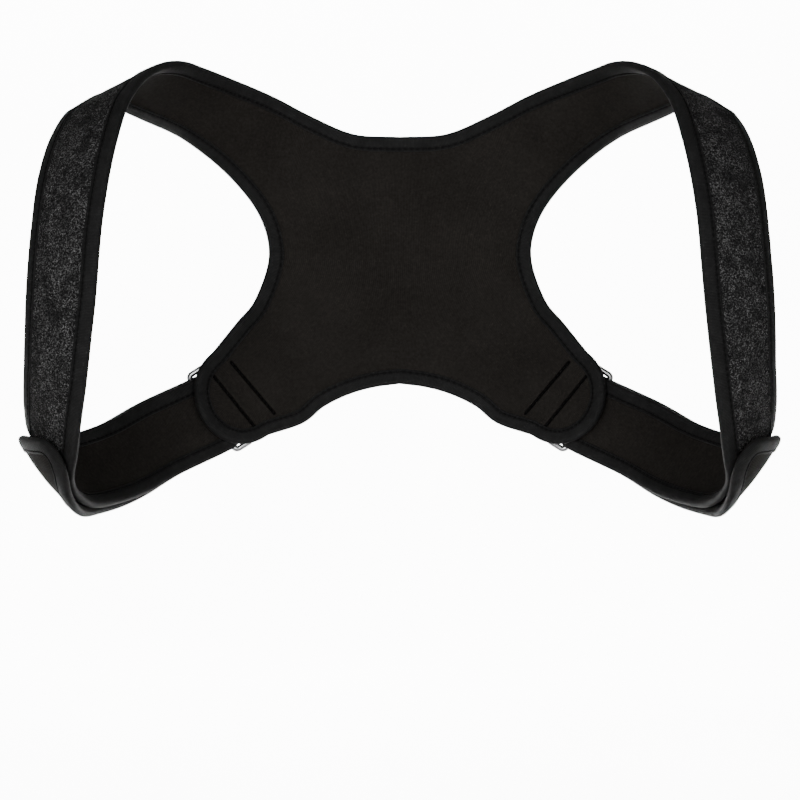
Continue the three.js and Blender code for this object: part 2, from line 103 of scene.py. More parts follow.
# Section of the folded edge tape: distance in from the edge, and height over the laminate
TAPE_SECTION = [
    (7.9, 0.04), (7.95, 0.45), (7.5, 0.72), (6.9, 0.7), (6.35, 0.3), (5.8, 0.7), (4.6, 0.86),
    (3.0, 0.9), (1.5, 0.84),
]
TAPE_FOLD_RADIUS = HALF_SHEET + 0.62  # round the laminate's edge
TAPE_PULL = 0.1  # how far the tape's own edge wanders

# Stitching of the tape. The lines that hold the webbing are given on the wing's inner face by
# their ends, from the wing's middle along and across it, and by the distance along the webbing
STITCH_LINE = 6.35  # in from the edge
STITCH_PITCH = 3.6
STITCH_GAP = 0.9
STITCH_RADIUS = 0.27
WING_SEAMS = [((4.6, -19), (8.4, 19.5)), ((-10.2, -20), (-5.4, 20))]
WEBBING_SEAMS = (-2, -16)
SEAM_HALF_LENGTH = 17
SEAM_RADIUS = 0.3
GROOVE_DEPTH = 0.45  # of the foam pressed in along the lines on the wing
GROOVE_HALF_WIDTH = 1.1

# Fineness of the meshes
ROW_STEPS = 12
CELLS = 24
ROUND_STEPS = 36
FOLD_STEPS = 16
TAPE_FOLD_STEPS = 8
BORDER_PITCH = 1.8  # between the stations of the edge tape
NUDGE = 0.02  # rows or millimetres between two points that give a direction

# Strap from the crest of the shoulder to the ring, the middle of each row in shares of the
# reach, depth and drop, its turn in degrees and its share of the crown
STRAP_ROWS = [
    # x, y, z, yaw, drop, crown
    (0.841, 0.09, 0.007, 27, 25, 0),
    (0.913, -0.19, -0.07, 27, 16, 0.4),
    (0.953, -0.6, -0.205, 29, 5, 0.8),
    (0.976, -0.86, -0.38, 32, 0, 1),
    (0.99, -1, -0.588, 33, 0, 1),
    (1.007, -0.96, -0.762, 40, 0, 0.9),
    (1.03, -0.74, -0.9, 48, -10, 0.7),
    (1.046, -0.38, -0.988, 51, -32, 0.5),
    (1.008, 0.02, -1.032, 40, -49, 0.4),
    (0.938, 0.25, -1.023, 18, -58, 0.4),
    (0.854, 0.463, -0.994, 0, -60, 0.3),
    (0.756, 0.644, -0.944, -12, -60, 0.2),
]

# Edges of one half of the panel, in the same shares
NECK_ROWS = [
    (0, 0.963, -0.102),
    (0.15, 0.945, -0.095),
    (0.285, 0.875, -0.05),
    (0.41, 0.74, 0),
    (0.52, 0.55, 0.032),
    (0.61, 0.33, 0.052),
    (0.68, 0.14, 0.062),
]
ARM_ROWS = [
    (0.465, 0.885, -0.56),
    (0.421, 0.92, -0.435),
    (0.452, 0.9, -0.32),
    (0.55, 0.81, -0.21),
    (0.69, 0.62, -0.115),
    (0.83, 0.36, -0.067),
]
HEM_ROWS = [
    (0, 0.98, -0.79),
    (0.085, 0.975, -0.8),
    (0.167, 0.965, -0.82),
    (0.25, 0.955, -0.855),
]
PANEL_MIDDLE = (0, 1, -0.455)
WING_MIDDLE = (0.511, 0.827, -0.828)
WING_TURN = (-22, -55)  # yaw and drop of the wing's width, as a strap's
WING_FACING = (64, 0)  # yaw and drop of the way that the wing's outside faces
SEAM_END = 2  # rows from the panel's middle to its waist, where the upper half ends
WAIST_ROW = 3  # row of the waist along the whole arm edge


def place(x, y, z):
    depth = BACK_DEPTH if y > 0 else CHEST_DEPTH
    return Vector((x * SHOULDER_REACH, y * depth, z * UNDERARM_DROP))


def direction(yaw, drop):
    turn, fall = math.radians(yaw), math.radians(drop)
    return Vector((math.cos(fall) * math.cos(turn), math.cos(fall) * math.sin(turn), -math.sin(fall)))


def mix(a, b, share):
    return a + (b - a) * share


def smoothstep(x, low, high):
    share = min(max((x - low) / (high - low), 0), 1)
    return share * share * (3 - 2 * share)


def evenly(start, end, steps):
    return [start + (end - start) * i / steps for i in range(steps + 1)]


def pairs(loop):
    """Each item of a closed loop with the next one."""
    return zip(loop, loop[1:] + loop[:1])


def even_rows(start, end):
    return evenly(start, end, max(1, round(abs(end - start) * ROW_STEPS)))


def smooth_table(rows):
    """Smooth curve through rows of numbers, read at a row number that need not be whole."""
    last = len(rows) - 1

    def at(row):
        row = min(max(row, 0), last)
        low = min(int(row), last - 1)
        high = low + 1
        before = low - 1 if low > 0 else high
        after = high + 1 if high < last else low
        weight_before = 0.5 if low > 0 else -0.5
        weight_after = 0.5 if high < last else -0.5
        p = row - low
        p2, p3 = p * p, p * p * p
        s_before = weight_before * (-p3 + 2 * p2 - p)
        s_low = (1 + weight_before) * p3 - (1.5 + 2 * weight_before) * p2 + (weight_before - 0.5) * p + 1
        s_high = (-1 - weight_after) * p3 + (1.5 + weight_after) * p2 + 0.5 * p
        s_after = weight_after * (p3 - p2)
        return [
            s_before * a + s_low * b + s_high * c + s_after * d
            for a, b, c, d in zip(rows[before], rows[low], rows[high], rows[after])
        ]

    return at


def smooth_edge(points):
    curve = smooth_table([tuple(point) for point in points])
    return lambda row: Vector(curve(row))


def on_plane(vector, normal):
    return vector - normal * vector.dot(normal)


# Wing: its round end and the bend round the body
wing_centre = place(*WING_MIDDLE)
wing_across = direction(*WING_TURN)
wing_normal = on_plane(direction(*WING_FACING), wing_across).normalized()
wing_axis = wing_normal.cross(wing_across).normalized()


def wing_point(distance, across, height=0):
    """Point beside the middle of a wing's end: outwards, across to the arm edge, and off it."""
    angle = distance / WING_BEND
    normal = wing_normal * math.cos(angle) + wing_axis * math.sin(angle)
    middle = wing_centre - wing_normal * WING_BEND + normal * WING_BEND
    return middle + wing_across * across + normal * height


def loop_point(along, across, height):
    """Point of the wing as the ring is turned on it."""
    twist = math.radians(RING_TWIST)
    return wing_point(
        along * math.cos(twist) + across * math.sin(twist),
        across * math.cos(twist) - along * math.sin(twist),
        height,
    )


# Ring on the outside of the wing
held_middle = loop_point(RING_OVERHANG, 0, 0)
held_normal = loop_point(RING_OVERHANG, 0, 1) - held_middle
held_across = on_plane(loop_point(RING_OVERHANG, 1, 0) - held_middle, held_normal).normalized()
held_axis = held_normal.cross(held_across).normalized()
held_height = HALF_SHEET + CLEARANCE + LOOP_THICKNESS / 2 + LOOP_RADIUS
outer_height = 2 * HALF_SHEET + TAPE_OUTSIDE + CLEARANCE + FOLD_RADIUS + TAPE_OUTSIDE
ring_tilt = math.asin((outer_height - held_height) / RING_PITCH)
ring_direction = held_axis * math.cos(ring_tilt) + held_normal * math.sin(ring_tilt)
held_bar = loop_point(RING_OVERHANG, 0, held_height)
outer_bar = held_bar + ring_direction * RING_PITCH

# Strap
LAST_ROW = len(STRAP_ROWS)
strap_end = outer_bar - held_normal * FOLD_RADIUS
strap_beyond = strap_end - held_axis * RING_LEAD
strap_curve = smooth_table(
    [
        (*place(x, y, z), *direction(yaw, drop), crown)
        for x, y, z, yaw, drop, crown in STRAP_ROWS
    ]
    + [(*strap_end, *held_across, 0), (*strap_beyond, *held_across, 0)]
)


def strap_middle(row):
    return Vector(strap_curve(row)[:3])


def strap_section(row):
    """Middle, way across, normal, way forward and crown of a strap at a row."""
    values = strap_curve(row)
    forward = strap_middle(min(row + NUDGE, LAST_ROW)) - strap_middle(max(row - NUDGE, 0))
    forward.normalize()
    across = on_plane(Vector(values[3:6]), forward).normalized()
    return strap_middle(row), across, forward.cross(across), forward, values[6] * STRAP_CROWN


def strap_surface(row, position):
    middle, across, normal, _, crown = strap_section(row)
    return middle + across * position + normal * (crown * (1 - (2 * position / STRAP_WIDTH) ** 2))


def strap_point(row, position, height=0):
    along = strap_surface(min(row + NUDGE, LAST_ROW), position)
    along -= strap_surface(max(row - NUDGE, 0), position)
    over = strap_surface(row, position + NUDGE) - strap_surface(row, position - NUDGE)
    return strap_surface(row, position) + along.cross(over).normalized() * height


def return_height(row):
    """Height of the returned layer over the strap, which grows to the width of the fold."""
    return mix(LAYER_PITCH, 2 * FOLD_RADIUS, smoothstep(row, LAST_ROW - 2, LAST_ROW))


def return_point(row, position):
    """Point of the returned layer, whose end reaches further in than the strap under it."""
    extra = TAB_EXTRA * (1 - smoothstep(row, *TAB_ROWS)) * max(0, -2 * position / STRAP_WIDTH)
    return strap_point(row, position - extra, return_height(row))


def row_beyond(row, distance):
    """Row at a distance along the strap's middle line."""
    step = 0.01
    left = distance
    while left > 0:
        left -= (strap_middle(row + step) - strap_middle(row)).length
        row += step
    return row


TIP_START = row_beyond(TIP_ROW, TIP_LENGTH)


def strap_lines():
    """Lines across the strap from the crest to the ring, round its bar and back to the tip."""
    positions = evenly(-STRAP_WIDTH / 2, STRAP_WIDTH / 2, CELLS)
    lines = [[strap_point(row, p) for p in positions] for row in even_rows(0, LAST_ROW)]
    _, across, normal, forward, _ = strap_section(LAST_ROW)
    for angle in evenly(0, math.pi, FOLD_STEPS)[1:-1]:
        turned = outer_bar + forward * (FOLD_RADIUS * math.sin(angle))
        turned -= normal * (FOLD_RADIUS * math.cos(angle))
        lines.append([turned + across * p for p in positions])
    for row in even_rows(LAST_ROW, TIP_START):
        lines.append([return_point(row, p) for p in positions])
    return lines


def round_end(length, half_width, at):
    """Rays from the middle of a half round end to its edge."""
    rays = []
    for angle in evenly(math.pi / 2, -math.pi / 2, ROUND_STEPS):
        beyond, across = length * math.cos(angle), half_width * math.sin(angle)
        rays.append([at(share * beyond, share * across) for share in evenly(0, 1, CELLS // 2)])
    return rays


def tip_rays():
    rows = {}

    def at(beyond, across):
        key = round(beyond, 2)
        if key not in rows:
            rows[key] = row_beyond(TIP_ROW, TIP_LENGTH - beyond)
        share = beyond / TIP_LENGTH
        position = across * (1 - TIP_TAPER * share if across > 0 else 1) - TIP_DRIFT * share ** 2
        return return_point(rows[key], position)

    return round_end(TIP_LENGTH, STRAP_WIDTH / 2, at)


def wing_rays():
    return round_end(
        WING_END_RADIUS,
        WING_END_RADIUS,
        lambda beyond, across: wing_point(beyond, WING_END_RISE - across),
    )


def panel_lines():
    """Lines from the neck to the arm edge, and from the arm edge to the hem, of one half."""
    crest = [strap_point(0, p) for p in (-STRAP_WIDTH / 2, STRAP_WIDTH / 2)]
    root = [wing_point(-WING_FLARE, across) for across in (-WING_ROOT_HEM, WING_ROOT_ARM)]
    end = [wing_point(0, WING_END_RISE + side * WING_END_RADIUS) for side in (-1, 1)]
    neck = smooth_edge([place(*row) for row in NECK_ROWS] + [crest[0]])
    hem = smooth_edge([place(*row) for row in HEM_ROWS] + [root[0], end[0]])
    arm = smooth_edge([end[1], root[1]] + [place(*row) for row in ARM_ROWS] + [crest[1]])
    middle, waist = place(*PANEL_MIDDLE), arm(WAIST_ROW)

    def seam(share):
        point = mix(middle, waist, share)
        point.y = mix(middle.y, waist.y, share * share)
        return point

    def arm_up(row):
        return seam(row / SEAM_END) if row < SEAM_END else arm(WAIST_ROW + row - SEAM_END)

    def arm_down(row):
        return seam(row / SEAM_END) if row < SEAM_END else arm(WAIST_ROW - row + SEAM_END)

    def line(start, end):
        return [mix(start, end, share) for share in evenly(0, 1, CELLS)]

    upper = [line(neck(row), arm_up(row)) for row in even_rows(0, len(NECK_ROWS))]
    lower = [line(arm_down(row), hem(row)) for row in even_rows(0, len(HEM_ROWS) + 1)]
    for index in range(SEAM_END * ROW_STEPS + 1):
        lower[index][0] = upper[index][-1]
    return upper, lower


def mirrored(point):
    return Vector((-point.x, point.y, point.z))


class Cloth:
    """Middle surface of the laminate, as points and four-sided faces with cloth coordinates."""

    def __init__(self):
        self.points = []
        self.numbers = {}
        self.faces = []
        self.coords = []
        self.free = set()

    def number(self, point):
        """Number of a point, the same for points that differ by rounding alone."""
        near = [sorted({round(value * 50 - 0.2), round(value * 50 + 0.2)}) for value in point]
        keys = list(itertools.product(*near))
        known = [self.numbers[key] for key in keys if key in self.numbers]
        if known:
            return known[0]
        self.points.append(point.copy())
        self.numbers.update((key, len(self.points) - 1) for key in keys)
        return len(self.points) - 1

    def grid(self, lines, mirror=False, relaxed=0):
        """Adds faces between lines of points. The first relaxed lines are free to even out."""
        numbers = [[self.number(mirrored(p) if mirror else p) for p in line] for line in lines]
        along = [0]
        for a, b in zip(lines, lines[1:]):
            along.append(along[-1] + (b[len(b) // 2] - a[len(a) // 2]).length)
        side = -1 if mirror else 1
        coords = []
        for line, distance in zip(lines, along):
            over = [0]
            for a, b in zip(line, line[1:]):
                over.append(over[-1] + (b - a).length)
            coords.append([(side * distance, -value) for value in over])
        self.free.update(n for line in numbers[:relaxed] for n in line)
        for i in range(len(lines) - 1):
            for j in range(len(lines[i]) - 1):
                corners = [(i, j), (i + 1, j), (i + 1, j + 1), (i, j + 1)]
                if mirror:
                    corners.reverse()
                face = [numbers[a][b] for a, b in corners]
                kept = [k for k in range(4) if face[k] != face[k - 1]]
                if len(set(face)) >= 3:
                    self.faces.append([face[k] for k in kept])
                    self.coords.append([coords[corners[k][0]][corners[k][1]] for k in kept])

    def border(self):
        """Loops of point numbers along the open edges, with the sheet on the left."""
        open_edges = set()
        for face in self.faces:
            for a, b in pairs(face):
                if (b, a) in open_edges:
                    open_edges.remove((b, a))
                else:
                    open_edges.add((a, b))
        following = dict(open_edges)
        loops = []
        while following:
            start, at = following.popitem()
            loop = [start]
            while at != start:
                loop.append(at)
                at = following.pop(at)
            loops.append(loop)
        return loops

    def ease_border(self, spots, reach, rounds):
        """Smooths the edges near some spots, so that two curves meet without a corner."""
        for loop in self.border():
            shares = [
                1 - smoothstep(min((self.points[n] - spot).length for spot in spots), reach / 2, reach)
                for n in loop
            ]
            for _ in range(rounds):
                points = [self.points[n] for n in loop]
                for i, (n, share) in enumerate(zip(loop, shares)):
                    middle = (points[i - 1] + points[(i + 1) % len(loop)]) / 2
                    self.points[n] = mix(points[i], middle, share / 2)

    def relax(self, rounds):
        """Evens out the free points that aren't on an edge."""
        edge = {n for loop in self.border() for n in loop}
        near = {n: set() for n in self.free - edge}
        for face in self.faces:
            for a, b in pairs(face):
                if a in near:
                    near[a].add(b)
                if b in near:
                    near[b].add(a)
        for _ in range(rounds):
            moved = {
                n: sum((self.points[m] for m in others), Vector()) / len(others)
                for n, others in near.items()
            }
            for n, point in moved.items():
                self.points[n] = mix(self.points[n], point, 0.6)

    def find_normals(self):
        self.normals = [Vector() for _ in self.points]
        for face in self.faces:
            a, b, c = (self.points[n] for n in face[:3])
            d = self.points[face[-1]]
            normal = (c - a).cross(d - b) if len(face) == 4 else (b - a).cross(c - a)
            for n in face:
                self.normals[n] += normal
        for normal in self.normals:
            normal.normalize()
        self.tree = BVHTree.FromPolygons(self.points, self.faces)

    def nearest(self, point):
        """Place on the sheet nearest to a point, and the smooth normal there."""
        spot, _, index, _ = self.tree.find_nearest(point)
        face = self.faces[index]
        weights = poly_3d_calc([self.points[n] for n in face], spot)
        normal = sum((self.normals[n] * w for n, w in zip(face, weights)), Vector())
        return spot, normal.normalized()


def build_mesh(name, points, faces, materials, face_slots=None, coords=None):
    """Mesh object from points in millimetres."""
    mesh = bpy.data.meshes.new(name)
    mesh.from_pydata([point * MM for point in points], [], faces)
    for material in materials:
        mesh.materials.append(material)
    if face_slots:
        mesh.polygons.foreach_set("material_index", face_slots)
    if coords:
        layer = mesh.uv_layers.new(name="cloth")
        flat = [value * MM for face in coords for uv in face for value in uv]
        layer.data.foreach_set("uv", flat)
    mesh.polygons.foreach_set("use_smooth", [True] * len(mesh.polygons))
    mesh.validate()
    mesh.update()
    obj = bpy.data.objects.new(name, mesh)
    scene.collection.objects.link(obj)
    return obj


# Materials
def nodes_of(name):
    material = bpy.data.materials.new(name)
    material.use_nodes = True
    tree = material.node_tree
    return material, tree, tree.nodes["Principled BSDF"]


def add_node(tree, kind, inputs=None, **settings):
    """New node, each of whose inputs is linked to a socket or given a value."""
    node = tree.nodes.new(kind)
    for key, value in settings.items():
        setattr(node, key, value)
    for key, value in (inputs or {}).items():
        if isinstance(value, bpy.types.NodeSocket):
            tree.links.new(value, node.inputs[key])
        else:
            node.inputs[key].default_value = value
    return node


def math_node(tree, operation, *values, **settings):
    inputs = dict(enumerate(values))
    return add_node(tree, "ShaderNodeMath", inputs, operation=operation, **settings).outputs[0]


def vector_node(tree, operation, inputs, output="Vector"):
    return add_node(tree, "ShaderNodeVectorMath", inputs, operation=operation).outputs[output]


def noise_texture(tree, where, scale, detail=2.0, roughness=0.5, output="Fac"):
    inputs = {"Vector": where, "Scale": scale, "Detail": detail, "Roughness": roughness}
    return add_node(tree, "ShaderNodeTexNoise", inputs).outputs[output]


def cell_texture(tree, where, scale, randomness):
    inputs = {"Vector": where, "Scale": scale, "Randomness": randomness}
    return add_node(tree, "ShaderNodeTexVoronoi", inputs).outputs["Distance"]


def blend(tree, share, first, second):
    inputs = {"Fac": share, "Color1": first, "Color2": second}
    return add_node(tree, "ShaderNodeMixRGB", inputs).outputs["Color"]


def soft_step(tree, value, start, end, top=1.0):
    """0 before the start, top beyond the end, and a smooth rise between them."""
    inputs = {"Value": value, "From Min": start, "From Max": end, "To Max": top}
    node = add_node(tree, "ShaderNodeMapRange", inputs, interpolation_type="SMOOTHSTEP")
    return node.outputs["Result"]


def ramp(tree, value, stops):
    node = add_node(tree, "ShaderNodeValToRGB", {"Fac": value})
    elements = node.color_ramp.elements
    while len(elements) < len(stops):
        elements.new(0.5)
    for element, (position, colour) in zip(elements, stops):
        element.position = position
        element.color = (*colour, 1)
    return node.outputs["Color"]


def grey(value, warm=1.0):
    """Linear colour of a grey given as an 8-bit screen value, a little warm or cool."""
    share = value / 255
    linear = share / 12.92 if share <= 0.04045 else ((share + 0.055) / 1.055) ** 2.4
    return (linear * warm, linear, linear / warm)


def object_coords(tree):
    return add_node(tree, "ShaderNodeTexCoord").outputs["Object"]


def cloth_coords(tree):
    """Distances along and across the cloth."""
    uv = add_node(tree, "ShaderNodeUVMap", uv_map="cloth").outputs["UV"]
    split = add_node(tree, "ShaderNodeSeparateXYZ", {"Vector": uv}).outputs
    return split["X"], split["Y"]


def wave(tree, value, pitch):
    """0 to 1 and back once per pitch."""
    angle = math_node(tree, "MULTIPLY", value, 2 * math.pi / pitch)
    return math_node(tree, "MULTIPLY_ADD", math_node(tree, "SINE", angle), 0.5, 0.5)


def coat(tree, shader, colour, roughness, specular=0.5):
    tree.links.new(colour, shader.inputs["Base Color"])
    shader.inputs["Roughness"].default_value = roughness
    shader.inputs["Specular IOR Level"].default_value = specular


def bump(tree, shader, height, distance, strength=1.0, onto=None):
    inputs = {"Height": height, "Distance": distance, "Strength": strength}
    if onto is not None:
        inputs["Normal"] = onto
    node = add_node(tree, "ShaderNodeBump", inputs)
    tree.links.new(node.outputs["Normal"], shader.inputs["Normal"])
    return node.outputs["Normal"]


def groove_mask(tree, where, segments, width):
    """1 on straight sewn lines, mirrored left and right, and 0 a width away from them."""
    split = add_node(tree, "ShaderNodeSeparateXYZ", {"Vector": where}).outputs
    folded = {"X": math_node(tree, "ABSOLUTE", split["X"]), "Y": split["Y"], "Z": split["Z"]}
    spot = add_node(tree, "ShaderNodeCombineXYZ", folded).outputs["Vector"]
    gaps = []
    for start, end in segments:
        way = end - start
        from_start = vector_node(tree, "SUBTRACT", {0: spot, 1: start})
        along = vector_node(tree, "DOT_PRODUCT", {0: from_start, 1: way}, "Value")
        share = math_node(tree, "DIVIDE", along, way.length_squared, use_clamp=True)
        reached = vector_node(tree, "SCALE", {0: way, "Scale": share})
        gaps.append(vector_node(tree, "DISTANCE", {0: from_start, 1: reached}, "Value"))
    nearest = gaps[0]
    for gap in gaps[1:]:
        nearest = math_node(tree, "MINIMUM", nearest, gap)
    return soft_step(tree, math_node(tree, "DIVIDE", nearest, width), 1.0, 0.25)


def darkened(tree, colour, mask, share):
    """Colour turned towards black by a share where the mask is 1."""
    return blend(tree, math_node(tree, "MULTIPLY", mask, share), colour, (0, 0, 0, 1))


def knit_material(seams):
    """Smooth fine knit: brownish black, with wales, soft unevenness and sewn grooves, darkened with
    painted shade.
    """
    material, tree, shader = nodes_of("knit_face")
    along, across = cloth_coords(tree)
    where = object_coords(tree)
    cloudy = noise_texture(tree, where, 24.0, 5.0, 0.55)
    fine = noise_texture(tree, where, 1400.0)
    grain = noise_texture(tree, where, 620.0, 3.0, 0.7)
    wales = wave(tree, math_node(tree, "MULTIPLY_ADD", cloudy, 0.0012, along), 0.0009)
    courses = wave(tree, math_node(tree, "MULTIPLY_ADD", wales, 0.0002, across), 0.0007)
    loops = math_node(tree, "MULTIPLY", wales, courses)
    tone = math_node(tree, "MULTIPLY_ADD", loops, 0.25, math_node(tree, "MULTIPLY", cloudy, 0.3))
    tone = math_node(tree, "MULTIPLY_ADD", grain, 0.45, tone)
    colour = ramp(tree, tone, [(0.25, grey(17, 1.12)), (0.5, grey(29, 1.12)), (0.75, grey(42, 1.1))])
    # Painted shade: the colour is darkened almost to black in the grooves along the sewn lines.
    groove = groove_mask(tree, where, seams, 0.0013)
    coat(tree, shader, darkened(tree, colour, groove, 0.92), 0.9, 0.05)
    soft = bump(tree, shader, cloudy, 0.0012, 0.4)
    pressed = bump(tree, shader, math_node(tree, "MULTIPLY", groove, -1.0), 0.0012, 0.9, soft)
    bump(tree, shader, math_node(tree, "MULTIPLY_ADD", fine, 0.6, loops), 0.0002, 0.6, pressed)
    return material


def pile_material():
    """Looped pile: dark tufts with pale fibre ends and shadow between them."""
    material, tree, shader = nodes_of("pile_face")
    where = object_coords(tree)
    bend = noise_texture(tree, where, 420.0, 3.0, output="Color")
    tufts = cell_texture(tree, blend(tree, 0.0016, where, bend), 1050.0, 1.0)
    patchy = noise_texture(tree, where, 110.0, 6.0, 0.75)
    fibre = noise_texture(tree, where, 1150.0, 3.0, 0.8)
    tips = ramp(tree, fibre, [(0.0, (0, 0, 0)), (0.5, (0, 0, 0)), (0.62, (1, 1, 1))])
    spread = ramp(tree, patchy, [(0.36, (0.12,) * 3), (0.6, (0.95,) * 3)])
    body = ramp(tree, tufts, [(0.0, grey(34)), (0.45, grey(21)), (1.0, grey(6))])
    colour = blend(tree, math_node(tree, "MULTIPLY", tips, spread), body, (*grey(112), 1))
    coat(tree, shader, colour, 0.95, 0.05)
    rough = bump(tree, shader, patchy, 0.0012, 0.6)
    height = math_node(tree, "SUBTRACT", math_node(tree, "MULTIPLY", fibre, 0.8), tufts)
    bump(tree, shader, height, 0.0007, 1.0, rough)
    return material


def tape_material(stitch_widths):
    """Woven edge tape: ribs across it, a soft shine, and painted shade in dashes along the pressed line
    where it is sewn.
    """
    material, tree, shader = nodes_of("edge_tape")
    along, across = cloth_coords(tree)
    where = object_coords(tree)
    uneven = noise_texture(tree, where, 160.0, 5.0, 0.65)
    fine = noise_texture(tree, where, 1500.0, 3.0)
    ribs = wave(tree, math_node(tree, "MULTIPLY_ADD", uneven, 0.0006, along), 0.0008)
    threads = wave(tree, across, 0.00055)
    weave = math_node(tree, "MULTIPLY", ribs, math_node(tree, "MULTIPLY_ADD", threads, 0.6, 0.4))
    tone = math_node(tree, "MULTIPLY_ADD", weave, 0.4, math_node(tree, "MULTIPLY", uneven, 0.7))
    colour = ramp(tree, tone, [(0.15, grey(11)), (0.5, grey(21)), (0.9, grey(36))])
    upper_gap, lower_gap = (
        math_node(tree, "ABSOLUTE", math_node(tree, "SUBTRACT", across, width * MM))
        for width in stitch_widths
    )
    # Painted shade: the colour is darkened in dashes along the pressed lines where the tape is sewn.
    sewn = soft_step(tree, math_node(tree, "MINIMUM", upper_gap, lower_gap), 0.0017, 0.0004)
    stitch_shade_dashes = math_node(tree, "MULTIPLY_ADD", wave(tree, along, STITCH_PITCH * MM), 0.7, 0.3)
    stitch_shade_dashes = math_node(tree, "MULTIPLY", stitch_shade_dashes, math_node(tree, "MULTIPLY_ADD", uneven, 1.6, 0.1))
    colour = darkened(tree, colour, math_node(tree, "MULTIPLY", sewn, stitch_shade_dashes), 0.85)
    coat(tree, shader, colour, 0.72, 0.12)
    soft = bump(tree, shader, uneven, 0.0009, 0.6)
    bump(tree, shader, math_node(tree, "MULTIPLY_ADD", fine, 0.35, weave), 0.00025, 0.8, soft)
    return material


def thread_material():
    material, tree, shader = nodes_of("sewing_thread")
    twist = noise_texture(tree, object_coords(tree), 2600.0)
    coat(tree, shader, ramp(tree, twist, [(0.3, grey(5)), (0.7, grey(24))]), 0.85, 0.05)
    bump(tree, shader, twist, 0.0001, 0.6)
    return material


def webbing_material():
    """Narrow woven webbing with a clear warp and weft."""
    material, tree, shader = nodes_of("webbing")
    along, across = cloth_coords(tree)
    warp = wave(tree, across, 0.0016)
    weft = wave(tree, math_node(tree, "MULTIPLY_ADD", warp, 0.0008, along), 0.0011)
    fine = noise_texture(tree, object_coords(tree), 1200.0, 3.0)
    weave = math_node(tree, "MULTIPLY", warp, weft)
    tone = math_node(tree, "MULTIPLY_ADD", weave, 0.7, math_node(tree, "MULTIPLY", fine, 0.3))
    coat(tree, shader, ramp(tree, tone, [(0.1, grey(6)), (0.9, grey(30))]), 0.7)
    bump(tree, shader, tone, 0.0004, 0.9)
    return material


def hook_material():
    """Moulded hook tape: a fine field of stems, with painted light on their tops and painted shade
    between them.
    """
    material, tree, shader = nodes_of("hook_tape")
    stems = cell_texture(tree, object_coords(tree), 900.0, 0.35)
    # Painted light and shade: lighter where the stems stand high, darker in the gaps between them.
    coat(tree, shader, ramp(tree, stems, [(0.1, grey(44)), (0.6, grey(10))]), 0.55)
    bump(tree, shader, math_node(tree, "SUBTRACT", 1.0, stems), 0.0006)
    return material


def metal_material():
    """Nickel-plated steel wire with faint draw marks."""
    material, tree, shader = nodes_of("nickel_wire")
    marks = noise_texture(tree, object_coords(tree), 260.0, 6.0, 0.7)
    colour = ramp(tree, marks, [(0.3, (0.3, 0.3, 0.31)), (0.7, (0.5, 0.5, 0.51))])
    tree.links.new(colour, shader.inputs["Base Color"])
    tree.links.new(math_node(tree, "MULTIPLY_ADD", marks, 0.22, 0.12), shader.inputs["Roughness"])
    shader.inputs["Metallic"].default_value = 1.0
    bump(tree, shader, marks, 0.00012, 0.3)
    return material


def wing_seams():
    """Ends of the stitching on the inner face of the right wing, in metres."""
    return [[wing_point(*end, -HALF_SHEET) * MM for end in seam] for seam in WING_SEAMS]


def tape_widths():
    """Distance of each line of the tape's section round from its first, on the upper face."""
    widths = [0]
    for (inward, rise), (next_inward, next_rise) in zip(TAPE_SECTION, TAPE_SECTION[1:]):
        widths.append(widths[-1] + math.hypot(next_inward - inward, next_rise - rise))
    return widths


upper_widths = tape_widths()
fold_width = math.pi * TAPE_FOLD_RADIUS
whole_tape = 2 * upper_widths[-1] + fold_width
stitch_width = upper_widths[[inward for inward, rise in TAPE_SECTION].index(STITCH_LINE)]

knit = knit_material(wing_seams())
pile = pile_material()
tape = tape_material((stitch_width, whole_tape - stitch_width))
thread = thread_material()
webbing = webbing_material()
hooks = hook_material()
nickel = metal_material()


# Laminate
upper, lower = panel_lines()
wing = wing_rays()
straps = strap_lines()
tips = tip_rays()

cloth = Cloth()
for mirror in (False, True):
    cloth.grid(upper, mirror, relaxed=len(upper))
    cloth.grid(lower, mirror, relaxed=len(lower))
    cloth.grid(wing, mirror, relaxed=len(wing))
    cloth.grid(straps, mirror, relaxed=ROW_STEPS)
    cloth.grid(tips, mirror)
crest = [straps[0][0], straps[0][-1]]
cloth.ease_border(crest + [mirrored(point) for point in crest], reach=40, rounds=60)
cloth.relax(rounds=30)
cloth.find_normals()

# The panel and both straps have one edge in common, as each strap's tip is free
(border_loop,) = cloth.border()


def unevenness(point):
    """Small rise and fall of the soft laminate, a little different left and right."""
    spot = Vector((abs(point.x), point.y, point.z))
    side = 3.7 if point.x < 0 else 0
    slow = noise.noise(spot / 34 + Vector((side, 0, 0)))
    quick = noise.noise(spot / 11 + Vector((0, side, 5)))
    return 0.45 * slow + 0.16 * quick


for index, (point, normal) in enumerate(zip(cloth.points, cloth.normals)):
    cloth.points[index] = point + normal * unevenness(point)
cloth.find_normals()

OUTSIDE, INSIDE = 0, 1  # places of the pile and the knit in the laminate's list of materials


def laminate():
    """Closed sheet with pile outside and knit inside, thinner at the edge under the tape."""
    count = len(cloth.points)
    edge = set(border_loop)
    halves = [HALF_SHEET - (0.5 if n in edge else 0) for n in range(count)]
    outer = [p + n * h for p, n, h in zip(cloth.points, cloth.normals, halves)]
    inner = [p - n * h for p, n, h in zip(cloth.points, cloth.normals, halves)]
    faces, sides, coords = [], [], []
    for face, face_coords in zip(cloth.faces, cloth.coords):
        faces += [face, [n + count for n in reversed(face)]]
        coords += [face_coords, face_coords[::-1]]
        sides += [OUTSIDE, INSIDE]
    for a, b in pairs(border_loop):
        faces.append([b, a, a + count, b + count])
        coords.append([(0, 0), (0.001, 0), (0.001, 0.003), (0, 0.003)])
        sides.append(INSIDE)
    return build_mesh("laminate", outer + inner, faces, [pile, knit], sides, coords)


